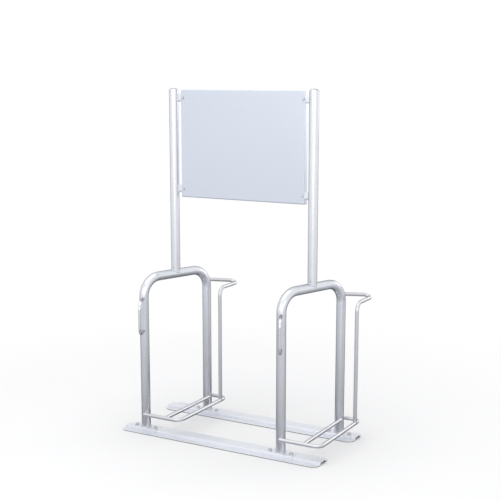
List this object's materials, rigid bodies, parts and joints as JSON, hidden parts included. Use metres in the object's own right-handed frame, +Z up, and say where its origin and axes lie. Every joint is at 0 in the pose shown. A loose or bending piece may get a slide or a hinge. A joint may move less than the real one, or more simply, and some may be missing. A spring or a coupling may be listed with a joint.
{
  "type": "bicycle parking stand",
  "caption": "Free-standing steel bicycle stand: ground rails carry bent tube hoops with wheel holders, lock rings and a blank notice board held between posts.",
  "frame": {"origin": "on the ground, at the middle of the stand's bounding box", "axes": "+X along the rails to the right, +Y from front to back, +Z up"},
  "size_m": [1.187, 0.708, 1.8275],
  "materials": {
    "tube": "hot dip galvanised, light satin",
    "rail": "galvanised sheet, light satin",
    "plate": "hot dip galvanised, light satin",
    "bar": "bright galvanised round bar",
    "board": "pale blue-grey coated sheet, satin",
    "fastener": "bright zinc plated",
    "cap": "galvanised pressed steel, satin"
  },
  "bodies": {
    "root": {"front_rail": "rail", "rear_rail": "rail", "left_front_saddle": "plate", "left_rear_saddle": "plate", "left_hoop": "tube", "left_post": "tube", "left_post_cap": "cap", "left_wheel_loop": "bar", "left_inner_bar": "bar", "left_upright": "bar", "left_lock_ring": "bar", "left_top_tab": "plate", "left_bottom_tab": "plate", "right_front_saddle": "plate", "right_rear_saddle": "plate", "right_hoop": "tube", "right_post": "tube", "right_post_cap": "cap", "right_wheel_loop": "bar", "right_inner_bar": "bar", "right_upright": "bar", "right_lock_ring": "bar", "right_top_tab": "plate", "right_bottom_tab": "plate", "notice_board": "board", "base_bolts": "fastener", "base_washers": "fastener", "base_nuts": "fastener", "board_bolts": "fastener", "board_washers": "fastener", "board_nuts": "fastener"}
  },
  "joints": []
}
